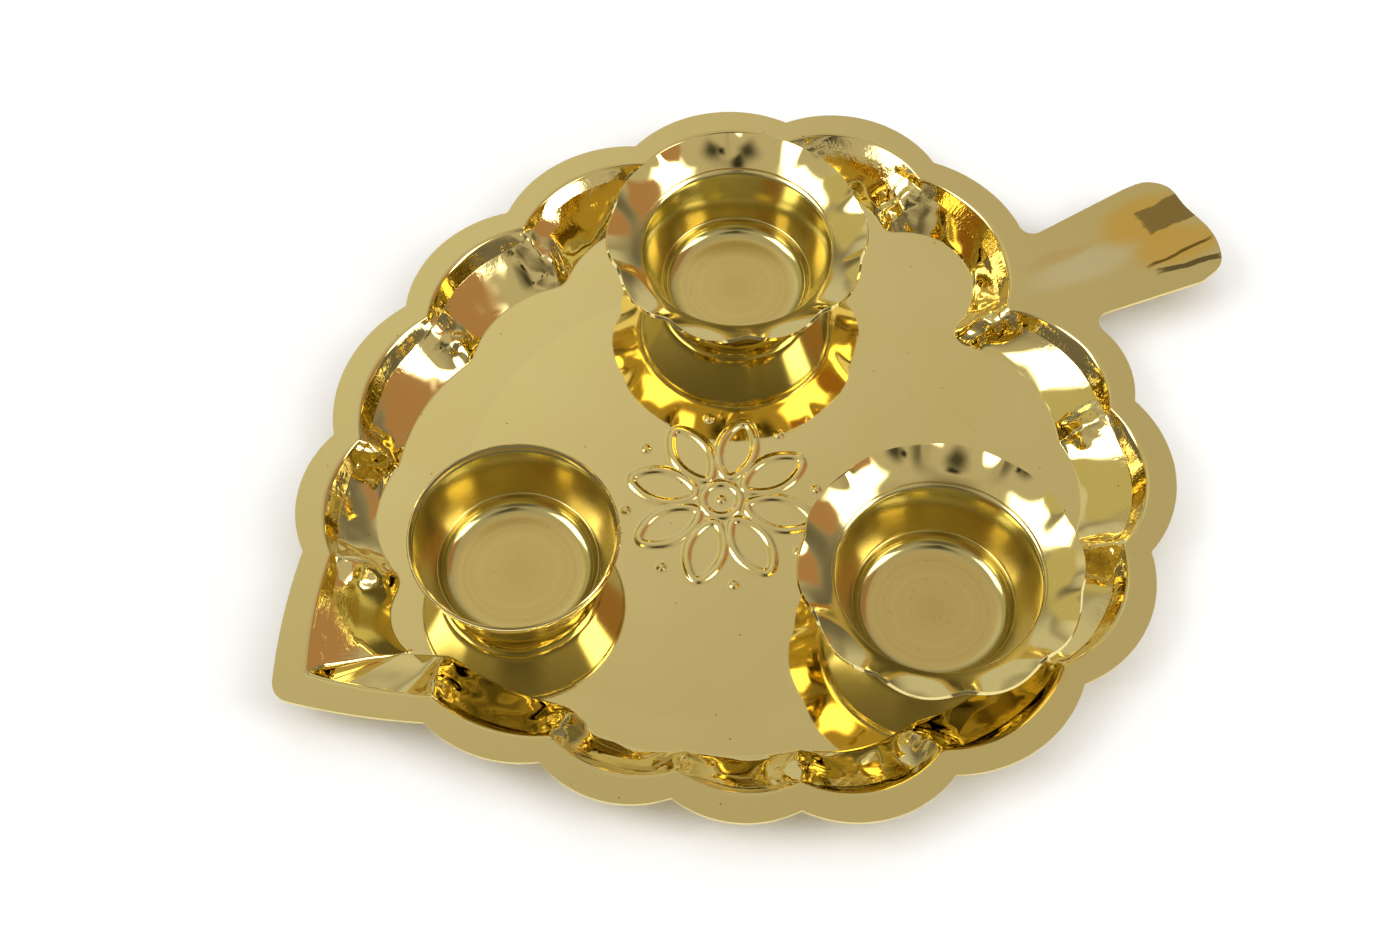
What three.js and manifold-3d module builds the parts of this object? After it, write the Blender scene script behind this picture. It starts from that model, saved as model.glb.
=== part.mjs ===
// A leaf-shaped brass tray with three loose cups for kumkum, turmeric and rice.
// Millimetres, +Z up. X runs from the leaf's tip to the end of its stem, and Y across the leaf.

import * as THREE from 'three';
import { mergeVertices } from 'three/addons/utils/BufferGeometryUtils.js';
import Module from 'manifold-3d';

const wasm = await Module();
wasm.setup();

// Tray: sheet, rim and well
const trayGauge = 0.8;
const flangeWidth = 5.5;
const wellDepth = 9;
const rimBend = 1.4;
const wallRun = 1.2;
const wallDrop = 4;
const scoopRun = 9;
// How far a scoop runs in behind a notch, as a share of its reach behind a lobe
const knuckleReach = 0.6;
const notchRound = 0.6;
const tipRound = 4.5;
const tipCrease = 0.8;

// Leaf: from its tip to the lobes at the stem, and across its corners
const leafLength = 187.5;
const leafWidth = 166.5;
// Its edge, counter-clockwise from the tip: each corner's place as shares of the leaf's length and width,
// and the bulge of the lobe after it as a share of that lobe's chord
const leafEdge = [
  { along: -0.004, across: -0.008, bulge: 0.026 },
  { along: 0.123, across: -0.126, bulge: 0.119 },
  { along: 0.208, across: -0.237, bulge: 0.162 },
  { along: 0.307, across: -0.351, bulge: 0.151 },
  { along: 0.416, across: -0.438, bulge: 0.182 },
  { along: 0.573, across: -0.489, bulge: 0.159 },
  { along: 0.747, across: -0.468, bulge: 0.177 },
  { along: 0.901, across: -0.363, bulge: 0.189 },
  { along: 1, across: -0.174, bulge: 0.231 },
  { along: 0.973, across: 0.021, bulge: 0.2 },
  { along: 0.989, across: 0.282, bulge: 0.198 },
  { along: 0.864, across: 0.444, bulge: 0.179 },
  { along: 0.683, across: 0.511, bulge: 0.162 },
  { along: 0.499, across: 0.495, bulge: 0.165 },
  { along: 0.333, across: 0.423, bulge: 0.149 },
  { along: 0.187, across: 0.288, bulge: 0.152 },
  { along: 0.096, across: 0.153, bulge: 0.031 },
];
// The two lobes that the stem grows from, as places in that list
const nearStemLobe = 8;
const farStemLobe = 9;

// Stem: its straight length past the leaf's length, its width at the end, and its root fillets
const stemLength = 31.5;
const stemWidth = 29.7;
const stemFillet = 3;
// Where its edges are drawn from and to; root is the root's width as a share of the stem's
const stemRoot = { along: 1.045, across: 0.034, width: 0.855 };
const stemEndAcross = 0.025;
// Its rounded, slightly waved end, in shares of its width, past the straight edges and across its middle
const endCurl = [
  { past: 0.185, across: 0.473 },
  { past: 0.31, across: 0.345 },
  { past: 0.313, across: 0.13 },
  { past: 0.343, across: -0.123 },
  { past: 0.303, across: -0.315 },
  { past: 0.202, across: -0.449 },
];

// Raised line design on the floor: a lotus of eight outlined petals round a ring, with dots between
const lotusPlace = { along: 0.539, across: -0.012 };
const petalCount = 8;
const petalInner = 6.8;
const petalLength = 12;
const petalWidth = 7.6;
const petalPoint = 1.1;
const ringRadius = 4;
const dotCircle = 20.5;
const dotRadius = 1.3;
const beadWidth = 1.5;
const beadHeight = 0.6;
// A bead's shoulders, as shares of its half width and its height, and how far it reaches into the sheet
const crownShare = 0.6;
const shoulderShare = 0.8;
const beadSunk = 0.1;

// Cups: one bowl for all three, with a fluted lip on two of them
const cupGauge = 0.8;
const cupFloorRadius = 14.2;
const stepRadius = 16.4;
const stepHeight = 3.4;
const stepLedge = 0.5;
const waistRadius = 21;
const waistHeight = 13.4;
const mouthRadius = 21.8;
const mouthHeight = 15.6;
const lipRadius = 28;
const lipHeight = 20.2;
// How level the lip is at its edge: the share of its rise that is left at its middle radius
const lipDroop = 0.25;
const fluteCount = 10;
const flutePush = 1.3;
const fluteDip = 1.5;
// The unflared cup's mouth
const plainRadius = 20.9;
// Where each cup stands on the leaf, and how far its flutes are turned, in degrees
const seats = {
  fluted_cup_far: { along: 0.701, across: 0.2655, fluted: true, turn: -44 },
  fluted_cup_near: { along: 0.67, across: -0.278, fluted: true, turn: -42 },
  plain_cup: { along: 0.298, across: 0.0215, fluted: false },
};

// How finely curves are cut
const lobeSteps = 6;
const knuckleSteps = 2;
const bendSteps = 2;
const scoopSteps = 3;
const filletSteps = 4;
const endSteps = 14;
const petalSteps = 16;
const ringSteps = 20;
const dotSides = 8;
const bowlSteps = 3;
const fluteSteps = 5;
const plainSides = 40;

const trayBrass = new THREE.MeshStandardMaterial({ color: 0xc2a866, roughness: 0.14, metalness: 1 });
const cupBrass = new THREE.MeshStandardMaterial({ color: 0xc9ad5e, roughness: 0.18, metalness: 1 });

const floorTop = trayGauge;
const rimTop = trayGauge + wellDepth;

const onLeaf = ({ along, across }) => new THREE.Vector2(along * leafLength, across * leafWidth);
const lotus = onLeaf(lotusPlace);

const polar = (centre, radius, angle) =>
  new THREE.Vector2(centre.x + radius * Math.cos(angle), centre.y + radius * Math.sin(angle));

const heading = (from, to) => Math.atan2(to.y - from.y, to.x - from.x);

// Points of an arc from one angle to another, by the shorter way round
function arc(centre, radius, from, to, steps) {
  const sweep = Math.atan2(Math.sin(to - from), Math.cos(to - from));
  return Array.from({ length: steps + 1 }, (_, i) => polar(centre, radius, from + (sweep * i) / steps));
}

// Where two circles cross, on the right of the way from the first centre to the second
function crossing(a, radiusA, b, radiusB) {
  const gap = Math.hypot(b.x - a.x, b.y - a.y);
  const along = (gap * gap + radiusA * radiusA - radiusB * radiusB) / (2 * gap);
  return polar(a, radiusA, heading(a, b) - Math.acos(along / radiusA));
}

// A lobe is an arc from one corner of the edge to the next, bulging outwards
function lobeCircle(corner, nextCorner) {
  const from = onLeaf(corner);
  const to = onLeaf(nextCorner);
  const chord = from.distanceTo(to);
  const bulge = corner.bulge * chord;
  const radius = (chord * chord) / (8 * bulge) + bulge / 2;
  const middle = from.clone().lerp(to, 1 / 2);
  const centre = polar(middle, radius - bulge, heading(from, to) + Math.PI / 2);
  return { centre, radius };
}

const lobes = leafEdge.map((corner, i) => lobeCircle(corner, leafEdge[(i + 1) % leafEdge.length]));
const lastLobe = lobes.length - 1;

// The centre that a rounded notch and every knuckle behind it turn about, by the lobe that ends there
const notches = lobes.slice(0, lastLobe).map((lobe, i) => {
  const next = lobes[i + 1];
  return crossing(lobe.centre, lobe.radius + notchRound, next.centre, next.radius + notchRound);
});

// The rounded tip at an inset: its arc touches the last lobe and the first
function tipArc(inset) {
  const radius = Math.max(tipRound - inset, tipCrease);
  const last = lobes[lastLobe];
  const first = lobes[0];
  const away = inset + radius;
  const centre = crossing(first.centre, first.radius - away, last.centre, last.radius - away);
  return { centre, radius, from: heading(last.centre, centre), to: heading(first.centre, centre) };
}

// One closed line round the leaf, inset from its edge; inside the flange, reach is the share of the inset taken
function leafLine(inset) {
  const beyondFlange = Math.max(inset - flangeWidth, 0);
  const atReach = (reach) => inset - (1 - reach) * beyondFlange;
  const tip = tipArc(inset);
  const points = arc(tip.centre, tip.radius, tip.from, tip.to, knuckleSteps).slice(1, -1);
  lobes.forEach((lobe, i) => {
    const from = i === 0 ? tip.to : heading(lobe.centre, notches[i - 1]);
    const to = i === lastLobe ? tip.from : heading(lobe.centre, notches[i]);
    const sweep = Math.atan2(Math.sin(to - from), Math.cos(to - from));
    for (let step = 0; step <= lobeSteps; step++) {
      const along = step / lobeSteps;
      const fromNotch = i === 0 ? (1 + along) / 2 : i === lastLobe ? along / 2 : along;
      const reach = knuckleReach + (1 - knuckleReach) * Math.sin(Math.PI * fromNotch);
      points.push(polar(lobe.centre, lobe.radius - atReach(reach), from + sweep * along));
    }
    if (i < lastLobe) {
      const notch = notches[i];
      const turn = arc(
        notch,
        notchRound + atReach(knuckleReach),
        heading(notch, lobe.centre),
        heading(notch, lobes[i + 1].centre),
        knuckleSteps,
      );
      points.push(...turn.slice(1, -1));
    }
  });
  return points;
}

// The tray's section from the edge to the floor: x is the inset and y the height against the rim
function traySection() {
  const shoulder = flangeWidth + rimBend;
  const slope = Math.hypot(wallRun, wallDrop);
  const start = new THREE.Vector2(flangeWidth, 0);
  const bent = new THREE.Vector2(shoulder + (rimBend * wallRun) / slope, (-rimBend * wallDrop) / slope);
  const foot = new THREE.Vector2(shoulder + wallRun, -wallDrop);
  const underFoot = new THREE.Vector2(shoulder + (wallRun * wellDepth) / wallDrop, -wellDepth);
  const floorEdge = new THREE.Vector2(foot.x + scoopRun, -wellDepth);
  const bend = new THREE.QuadraticBezierCurve(start, new THREE.Vector2(shoulder, 0), bent);
  const scoop = new THREE.QuadraticBezierCurve(foot, underFoot, floorEdge);
  return [new THREE.Vector2(0, 0), ...bend.getPoints(bendSteps), ...scoop.getPoints(scoopSteps)];
}

// The same section a sheet's thickness away, on the right of the way it runs; it starts level
function offsetSection(section, distance, endWay) {
  const level = new THREE.Vector2(1, 0);
  const ways = section.slice(1).map((point, i) => point.clone().sub(section[i]).normalize());
  return section.map((point, i) => {
    const last = i === ways.length;
    const before = i === 0 ? level : last ? endWay : ways[i - 1];
    const after = i === 0 ? level : last ? endWay : ways[i];
    const normal = new THREE.Vector2(before.y + after.y, -before.x - after.x).normalize();
    const stretch = distance / Math.abs(normal.x * after.y - normal.y * after.x);
    return new THREE.Vector2(point.x + normal.x * stretch, point.y + normal.y * stretch);
  });
}

// A closed skin over rings of equal count; the last ring joins the first, or both ends are capped
function skin(rings, looped) {
  const count = rings[0].length;
  const index = [];
  const spans = looped ? rings.length : rings.length - 1;
  for (let r = 0; r < spans; r++) {
    const here = r * count;
    const next = ((r + 1) % rings.length) * count;
    for (let i = 0; i < count; i++) {
      const j = (i + 1) % count;
      index.push(here + i, here + j, next + j, here + i, next + j, next + i);
    }
  }
  if (!looped) {
    const last = (rings.length - 1) * count;
    const flat = (ring) => ring.map((point) => new THREE.Vector2(point.x, point.y));
    for (const [a, b, c] of THREE.ShapeUtils.triangulateShape(flat(rings[0]), [])) index.push(a, c, b);
    for (const [a, b, c] of THREE.ShapeUtils.triangulateShape(flat(rings.at(-1)), [])) {
      index.push(last + a, last + b, last + c);
    }
  }
  const places = rings.flat().flatMap((point) => [point.x, point.y, point.z]);
  const geometry = new THREE.BufferGeometry();
  geometry.setAttribute('position', new THREE.Float32BufferAttribute(places, 3));
  geometry.setIndex(index);
  return geometry;
}

// Merges shared corners and drops triangles that have closed up
function weld(geometry) {
  const bare = geometry.clone();
  bare.deleteAttribute('normal');
  bare.deleteAttribute('uv');
  const merged = mergeVertices(bare, 1e-4);
  const kept = [];
  for (let i = 0; i < merged.index.count; i += 3) {
    const [a, b, c] = [0, 1, 2].map((k) => merged.index.getX(i + k));
    if (a !== b && b !== c && c !== a) kept.push(a, b, c);
  }
  merged.setIndex(kept);
  return merged;
}

function toSolid(geometry) {
  const welded = weld(geometry);
  return new wasm.Manifold(
    new wasm.Mesh({
      numProp: 3,
      vertProperties: welded.attributes.position.array,
      triVerts: Uint32Array.from(welded.index.array),
    }),
  );
}

function toGeometry(solid) {
  const mesh = solid.getMesh();
  const geometry = new THREE.BufferGeometry();
  geometry.setAttribute('position', new THREE.Float32BufferAttribute(mesh.vertProperties, 3));
  geometry.setIndex([...mesh.triVerts]);
  geometry.computeVertexNormals();
  return geometry;
}

// The pressed leaf without its stem and its raised design
function leafShell() {
  const section = traySection();
  const ring = ({ x, y }) => leafLine(x).map((point) => new THREE.Vector3(point.x, point.y, rimTop + y));
  const under = offsetSection(section, trayGauge, new THREE.Vector2(1, 0));
  return skin([...under.reverse(), ...section].map(ring), false);
}

// The stem's middle and half width at its root and at its end
const root = onLeaf(stemRoot);
const rootHalf = (stemRoot.width * stemWidth) / 2;
const end = new THREE.Vector2(leafLength + stemLength, stemEndAcross * leafWidth);
const endHalf = stemWidth / 2;

// The fillet in the corner between a lobe and one edge of the stem; side is 1 on the far edge, -1 on the near
function rootFillet(lobe, side) {
  const start = new THREE.Vector2(root.x, root.y + side * rootHalf);
  const slope = heading(start, new THREE.Vector2(end.x, end.y + side * endHalf));
  const outward = slope + (side * Math.PI) / 2;
  const lifted = polar(start, stemFillet, outward);
  const toLobe = lobe.centre.clone().sub(lifted);
  const along = toLobe.x * Math.cos(slope) + toLobe.y * Math.sin(slope);
  const across = toLobe.lengthSq() - along * along;
  const reach = along + Math.sqrt((lobe.radius + stemFillet) ** 2 - across);
  const centre = polar(lifted, reach, slope);
  return arc(centre, stemFillet, heading(centre, lobe.centre), outward + Math.PI, filletSteps);
}

// The stem's flat outline, with a tongue that lies in the flange between the well and the edge
function stemGeometry() {
  const nearLobe = lobes[nearStemLobe];
  const farLobe = lobes[farStemLobe];
  const notch = notches[nearStemLobe];
  const inset = flangeWidth / 2;
  const near = rootFillet(nearLobe, -1);
  const far = rootFillet(farLobe, 1);
  const within = (lobe, from, to) =>
    arc(lobe.centre, lobe.radius - inset, heading(lobe.centre, from), heading(lobe.centre, to), lobeSteps);
  const toFar = heading(notch, farLobe.centre);
  const toNear = heading(notch, nearLobe.centre);
  const curl = new THREE.SplineCurve(
    [{ past: 0, across: 1 / 2 }, ...endCurl, { past: 0, across: -1 / 2 }].map(
      ({ past, across }) => new THREE.Vector2(end.x + past * stemWidth, end.y + across * stemWidth),
    ),
  );
  const tongue = [
    ...within(farLobe, far[0], notch),
    ...arc(notch, notchRound + inset, toFar, toNear, knuckleSteps),
    ...within(nearLobe, notch, near[0]),
  ];
  const outline = new THREE.Shape([...near, ...curl.getPoints(endSteps).reverse(), ...far.reverse(), ...tongue]);
  const geometry = new THREE.ExtrudeGeometry(outline, { depth: trayGauge, bevelEnabled: false });
  return geometry.translate(0, 0, wellDepth);
}

// A bead round a closed line on the floor, its crown the bead's height above it
function bead(line) {
  const half = beadWidth / 2;
  const section = [
    [-half, -beadSunk],
    [-half * crownShare, beadHeight * shoulderShare],
    [0, beadHeight],
    [half * crownShare, beadHeight * shoulderShare],
    [half, -beadSunk],
  ];
  const rings = line.map((point, i) => {
    const before = line[(i + line.length - 1) % line.length];
    const after = line[(i + 1) % line.length];
    const outward = heading(before, after) - Math.PI / 2;
    return section.map(([side, height]) => {
      const place = polar(point, side, outward);
      return new THREE.Vector3(place.x, place.y, floorTop + height);
    });
  });
  return skin(rings, true);
}

function dot(centre) {
  const profile = [
    new THREE.Vector2(0, -beadSunk),
    new THREE.Vector2(dotRadius, -beadSunk),
    new THREE.Vector2(dotRadius * crownShare, beadHeight * shoulderShare),
    new THREE.Vector2(0, beadHeight),
  ];
  return new THREE.LatheGeometry(profile, dotSides)
    .rotateX(Math.PI / 2)
    .translate(centre.x, centre.y, floorTop);
}

function petalLine(turn) {
  const middle = petalInner + petalLength / 2;
  return Array.from({ length: petalSteps }, (_, i) => {
    const t = (2 * Math.PI * i) / petalSteps;
    const along = middle + (petalLength / 2) * Math.cos(t) + petalPoint * Math.cos(t) ** 5;
    const across = (petalWidth / 2) * Math.sin(t);
    return polar(lotus, Math.hypot(along, across), turn + Math.atan2(across, along));
  });
}

// Every raised line and dot of the lotus
function lotusBeads() {
  const beads = [];
  for (let i = 0; i < petalCount; i++) {
    const turn = (2 * Math.PI * i) / petalCount;
    beads.push(bead(petalLine(turn)));
    beads.push(dot(polar(lotus, dotCircle, turn + Math.PI / petalCount)));
  }
  const ringStep = (2 * Math.PI) / ringSteps;
  beads.push(bead(Array.from({ length: ringSteps }, (_, i) => polar(lotus, ringRadius, i * ringStep))));
  beads.push(dot(lotus));
  return beads.map(toSolid);
}

// The tray: the shell and the stem are one sheet, and the design is pressed up through its floor
function leafPlate() {
  let sheet = toSolid(leafShell()).add(toSolid(stemGeometry()));
  for (const raised of lotusBeads()) {
    sheet = sheet.subtract(raised.translate([0, 0, -trayGauge])).add(raised);
  }
  return toGeometry(sheet);
}

// The bowl's inside from the floor's edge to its waist: x is the radius and y the height above the floor
function bowlSection() {
  const fillet = new THREE.QuadraticBezierCurve(
    new THREE.Vector2(cupFloorRadius, 0),
    new THREE.Vector2(stepRadius, 0),
    new THREE.Vector2(stepRadius, stepHeight),
  );
  const wallFoot = stepHeight + stepLedge;
  const wall = new THREE.QuadraticBezierCurve(
    new THREE.Vector2(stepRadius + stepLedge, wallFoot),
    new THREE.Vector2(waistRadius, wallFoot + (waistRadius - stepRadius) / 2),
    new THREE.Vector2(waistRadius, waistHeight),
  );
  return [...fillet.getPoints(bowlSteps), ...wall.getPoints(bowlSteps)];
}

function lipSection() {
  const lip = new THREE.QuadraticBezierCurve(
    new THREE.Vector2(mouthRadius, mouthHeight),
    new THREE.Vector2((mouthRadius + lipRadius) / 2, lipHeight - (lipHeight - mouthHeight) * lipDroop),
    new THREE.Vector2(lipRadius, lipHeight),
  );
  return lip.getPoints(bowlSteps);
}

// A cup spun about its axis, standing on z = 0
function spunCup(upper, sides) {
  const axis = new THREE.Vector2(0, cupGauge);
  const inside = [...bowlSection(), ...upper].map((point) => new THREE.Vector2(point.x, point.y + cupGauge));
  const atRim = inside.at(-1).clone().sub(inside.at(-2)).normalize();
  const outside = offsetSection([axis, ...inside], cupGauge, atRim);
  const profile = [...outside, ...inside.reverse(), axis];
  return weld(new THREE.LatheGeometry(profile, sides).rotateX(Math.PI / 2));
}

// Crimps the lip into flutes: each sags and spreads between two raised creases, most at the lip's edge
function fluteLip(geometry, turn) {
  const position = geometry.attributes.position;
  const neck = mouthRadius + cupGauge;
  for (let i = 0; i < position.count; i++) {
    const angle = Math.atan2(position.getY(i), position.getX(i));
    const radius = Math.hypot(position.getX(i), position.getY(i));
    const share = Math.max(radius - neck, 0) / (lipRadius - neck);
    const belly = Math.abs(Math.sin((fluteCount * (angle - THREE.MathUtils.degToRad(turn))) / 2)) - 1 / 2;
    const place = polar({ x: 0, y: 0 }, radius + share * flutePush * belly, angle);
    position.setXYZ(i, place.x, place.y, position.getZ(i) - share * fluteDip * belly);
  }
  return geometry;
}

const flutedCup = (turn) => fluteLip(spunCup(lipSection(), fluteCount * fluteSteps), turn);

const plainCup = () => spunCup([new THREE.Vector2(plainRadius, mouthHeight)], plainSides);

function named(name, geometry, material) {
  geometry.computeVertexNormals();
  const mesh = new THREE.Mesh(geometry, material);
  mesh.name = name;
  return mesh;
}

const plate = new THREE.Group();
plate.add(named('leaf_plate', leafPlate(), trayBrass));
for (const [name, seat] of Object.entries(seats)) {
  const cup = named(name, seat.fluted ? flutedCup(seat.turn) : plainCup(), cupBrass);
  const place = onLeaf(seat);
  cup.position.set(place.x, place.y, floorTop);
  plate.add(cup);
}

// The origin is under the middle of the whole object's box, on the floor's underside
const centre = new THREE.Box3().setFromObject(plate).getCenter(new THREE.Vector3());
plate.position.set(-centre.x, -centre.y, 0);

export default plate;
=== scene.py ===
"""A leaf-shaped brass tray with three loose brass cups, in a plain studio.

Shapes are worked out in millimetres in the leaf's own plan, which runs from its tip along +X, and are put
into the row's frame in metres when a piece is made.
"""

import logging
import math
from dataclasses import dataclass, field
from enum import Enum

import bmesh
import bpy
from bpy.types import Material, Node, NodeSocket, NodeTree, Object, World
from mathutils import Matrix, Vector, noise

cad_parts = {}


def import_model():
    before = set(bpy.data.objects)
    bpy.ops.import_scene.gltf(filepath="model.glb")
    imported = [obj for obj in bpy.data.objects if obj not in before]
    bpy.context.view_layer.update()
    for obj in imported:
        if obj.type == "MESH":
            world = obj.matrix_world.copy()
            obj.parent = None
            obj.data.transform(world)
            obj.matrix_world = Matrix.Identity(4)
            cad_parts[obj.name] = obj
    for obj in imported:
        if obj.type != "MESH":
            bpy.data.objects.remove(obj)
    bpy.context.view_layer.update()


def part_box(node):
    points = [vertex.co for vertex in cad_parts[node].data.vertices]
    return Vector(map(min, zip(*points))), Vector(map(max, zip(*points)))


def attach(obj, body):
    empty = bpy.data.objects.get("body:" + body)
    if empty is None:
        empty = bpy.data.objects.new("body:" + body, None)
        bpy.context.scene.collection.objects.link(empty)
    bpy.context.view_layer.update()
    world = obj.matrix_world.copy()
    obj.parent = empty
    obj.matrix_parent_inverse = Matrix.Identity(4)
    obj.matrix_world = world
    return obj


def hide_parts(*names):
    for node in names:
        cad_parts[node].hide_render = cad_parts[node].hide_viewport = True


logging.basicConfig(level=logging.INFO, format="%(message)s")
log = logging.getLogger("tray")

MM = 0.001
ORIGIN = Vector((0, 0))
# Most of a noise texture lies between these values.
NOISE_SPREAD = {"From Min": 0.3, "From Max": 0.7}


def linear(colour: str) -> tuple[float, float, float, float]:
    """Turns an sRGB hex colour to linear light.

    Args:
        colour: The colour as "#rrggbb".

    Returns:
        Red, green and blue from 0 to 1, and an alpha of 1.
    """
    shares = [int(colour[i : i + 2], 16) / 255 for i in (1, 3, 5)]
    red, green, blue = (
        s / 12.92 if s <= 0.04045 else ((s + 0.055) / 1.055) ** 2.4 for s in shares
    )
    return red, green, blue, 1.0


def per(size: float) -> float:
    """The scale of a pattern on Object coordinates whose features are that many millimetres across."""
    return 1 / (size * MM)


def add_node(tree: NodeTree, kind: str, inputs: dict | None = None, **settings: object) -> Node:
    """Adds a node with its settings and its links.

    Args:
        tree: The node tree that gets it.
        kind: The node's type name.
        inputs: What goes into its sockets, by name or place: a value, an output, or a node, whose first
            output in use it then is.
        **settings: The node's own properties.

    Returns:
        The new node.
    """
    node = tree.nodes.new(kind)
    for name, value in settings.items():
        setattr(node, name, value)
    for name, value in (inputs or {}).items():
        if isinstance(value, Node):
            value = next(output for output in value.outputs if output.enabled)
        if isinstance(value, NodeSocket):
            tree.links.new(value, node.inputs[name])
        else:
            node.inputs[name].default_value = value
    return node


def start_tree(owner: Material | World) -> NodeTree:
    """Turns an owner's nodes on and clears them.

    Args:
        owner: The material or world.

    Returns:
        Its empty node tree.
    """
    owner.use_nodes = True
    owner.node_tree.nodes.clear()
    return owner.node_tree


def polar(centre: Vector, radius: float, angle: float) -> Vector:
    """The point at that distance and angle from a centre."""
    return Vector((centre.x + radius * math.cos(angle), centre.y + radius * math.sin(angle)))


def heading(start: Vector, end: Vector) -> float:
    """The angle of the way from one point to another."""
    return math.atan2(end.y - start.y, end.x - start.x)


def mix(a: float, b: float, share: float) -> float:
    """The number that lies that share of the way from a to b."""
    return a + (b - a) * share


def smooth_step(share: float) -> float:
    """Eases a share from 0 to 1, level at both ends."""
    held = min(max(share, 0.0), 1.0)
    return held * held * (3 - 2 * held)


def arc(centre: Vector, radius: float, start: float, end: float, steps: int) -> list[Vector]:
    """Points of an arc from one angle to another by the shorter way round, one more than its steps."""
    sweep = math.atan2(math.sin(end - start), math.cos(end - start))
    return [polar(centre, radius, start + sweep * i / steps) for i in range(steps + 1)]


def spline(points: list[Vector], steps: int) -> list[Vector]:
    """Points of a smooth curve through some others.

    Args:
        points: The points that it passes through.
        steps: How many steps lie between one of them and the next.

    Returns:
        The curve's points, with its first and its last.
    """
    held = [points[0], *points, points[-1]]
    found = [points[0]]
    for before, start, end, after in zip(held, held[1:], held[2:], held[3:]):
        for i in range(1, steps + 1):
            t = i / steps
            pull = (end - before) * (t - 2 * t * t + t**3) / 2
            push = (after - start) * (t**3 - t * t) / 2
            found.append(start.lerp(end, t * t * (3 - 2 * t)) + pull + push)
    return found


def bezier(start: Vector, bend: Vector, end: Vector, steps: int) -> list[Vector]:
    """Points of a quadratic curve that bends towards a point, as many as its steps, without its first."""
    shares = [(i + 1) / steps for i in range(steps)]
    return [start.lerp(bend, t).lerp(bend.lerp(end, t), t) for t in shares]


def shifted(ring: list[Vector], distance: float) -> list[Vector]:
    """Moves a closed counter-clockwise line inwards.

    Args:
        ring: Its points.
        distance: How far each moves, square to the line.

    Returns:
        The moved points.
    """
    moved = []
    for i, point in enumerate(ring):
        way = heading(ring[i - 1], ring[(i + 1) % len(ring)])
        moved.append(polar(point, distance, way + math.pi / 2))
    return moved


@dataclass(frozen=True)
class Circle:
    """A circle in the plan."""

    centre: Vector
    radius: float

    def grown(self, distance: float) -> "Circle":
        """The circle round the same centre whose radius is that much more."""
        return Circle(self.centre, self.radius + distance)

    def crossing(self, other: "Circle") -> Vector:
        """Finds where it crosses another circle, on the right of the way to that one's centre.

        Args:
            other: The other circle.

        Returns:
            The crossing.
        """
        gap = (other.centre - self.centre).length
        along = (gap**2 + self.radius**2 - other.radius**2) / (2 * gap)
        turn = heading(self.centre, other.centre) - math.acos(along / self.radius)
        return polar(self.centre, self.radius, turn)


@dataclass(frozen=True)
class Stations:
    """Places round the leaf at which every ring of the tray has a point.

    A station is a whole number at a corner, 0 at the tip, and runs up to the next one along each lobe.
    """

    lobes: int
    lobe_steps: int = 44
    notch_steps: int = 6
    tip_steps: int = 8
    corner_share: float = 0.02

    def places(self) -> list[float]:
        """Lists the stations.

        Returns:
            The stations in order, from the tip round the leaf and back.
        """
        near = self.corner_share
        found = [mix(-near, near, i / self.tip_steps) for i in range(1, self.tip_steps)]
        for lobe in range(self.lobes):
            steps = range(self.lobe_steps + 1)
            found += [mix(lobe + near, lobe + 1 - near, i / self.lobe_steps) for i in steps]
            if lobe < self.lobes - 1:
                notch = lobe + 1
                steps = range(1, self.notch_steps)
                found += [mix(notch - near, notch + near, i / self.notch_steps) for i in steps]
        return found


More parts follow.
